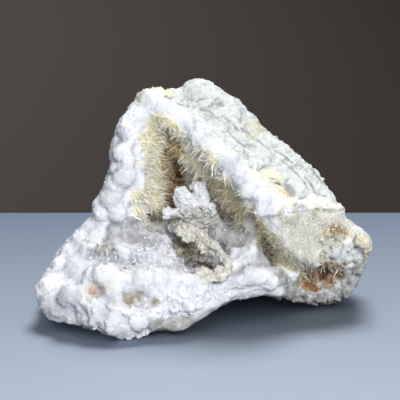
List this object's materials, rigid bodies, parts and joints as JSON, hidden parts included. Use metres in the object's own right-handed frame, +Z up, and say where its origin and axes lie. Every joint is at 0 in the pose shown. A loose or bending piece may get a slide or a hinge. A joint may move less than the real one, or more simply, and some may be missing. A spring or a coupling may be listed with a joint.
{
  "type": "calcite geode",
  "caption": "Broken half of a white calcite geode, hollow to the front, with straw needle sprays, a coral-like growth and amber crystals, resting on three feet.",
  "frame": {"origin": "middle of the stone's outline seen from above, on the surface that its three feet stand on", "axes": "+X to the right along the longest side, +Y away from the open hollow, +Z up"},
  "size_m": [0.1862, 0.1191, 0.1238],
  "materials": {
    "white_calcite": "rough, sugary",
    "needle_calcite": "glassy needles",
    "coral_calcite": "waxy, half clear",
    "honey_crystal": "glassy, half clear",
    "amber_crystal": "glassy, half clear"
  },
  "bodies": {
    "root": {"rock_shell": "white_calcite", "needle_spray_left": "needle_calcite", "needle_spray_right": "needle_calcite", "needle_spray_band": "needle_calcite", "needle_druse_lower": "needle_calcite", "coral_trunk": "coral_calcite", "coral_lobe_left": "coral_calcite", "coral_lobe_right": "coral_calcite", "coral_side_knob": "coral_calcite", "coral_strut": "coral_calcite", "honey_plate": "honey_crystal", "top_yellow_crystals": "honey_crystal", "amber_crystal": "amber_crystal", "amber_end_knob": "amber_crystal"}
  },
  "joints": []
}
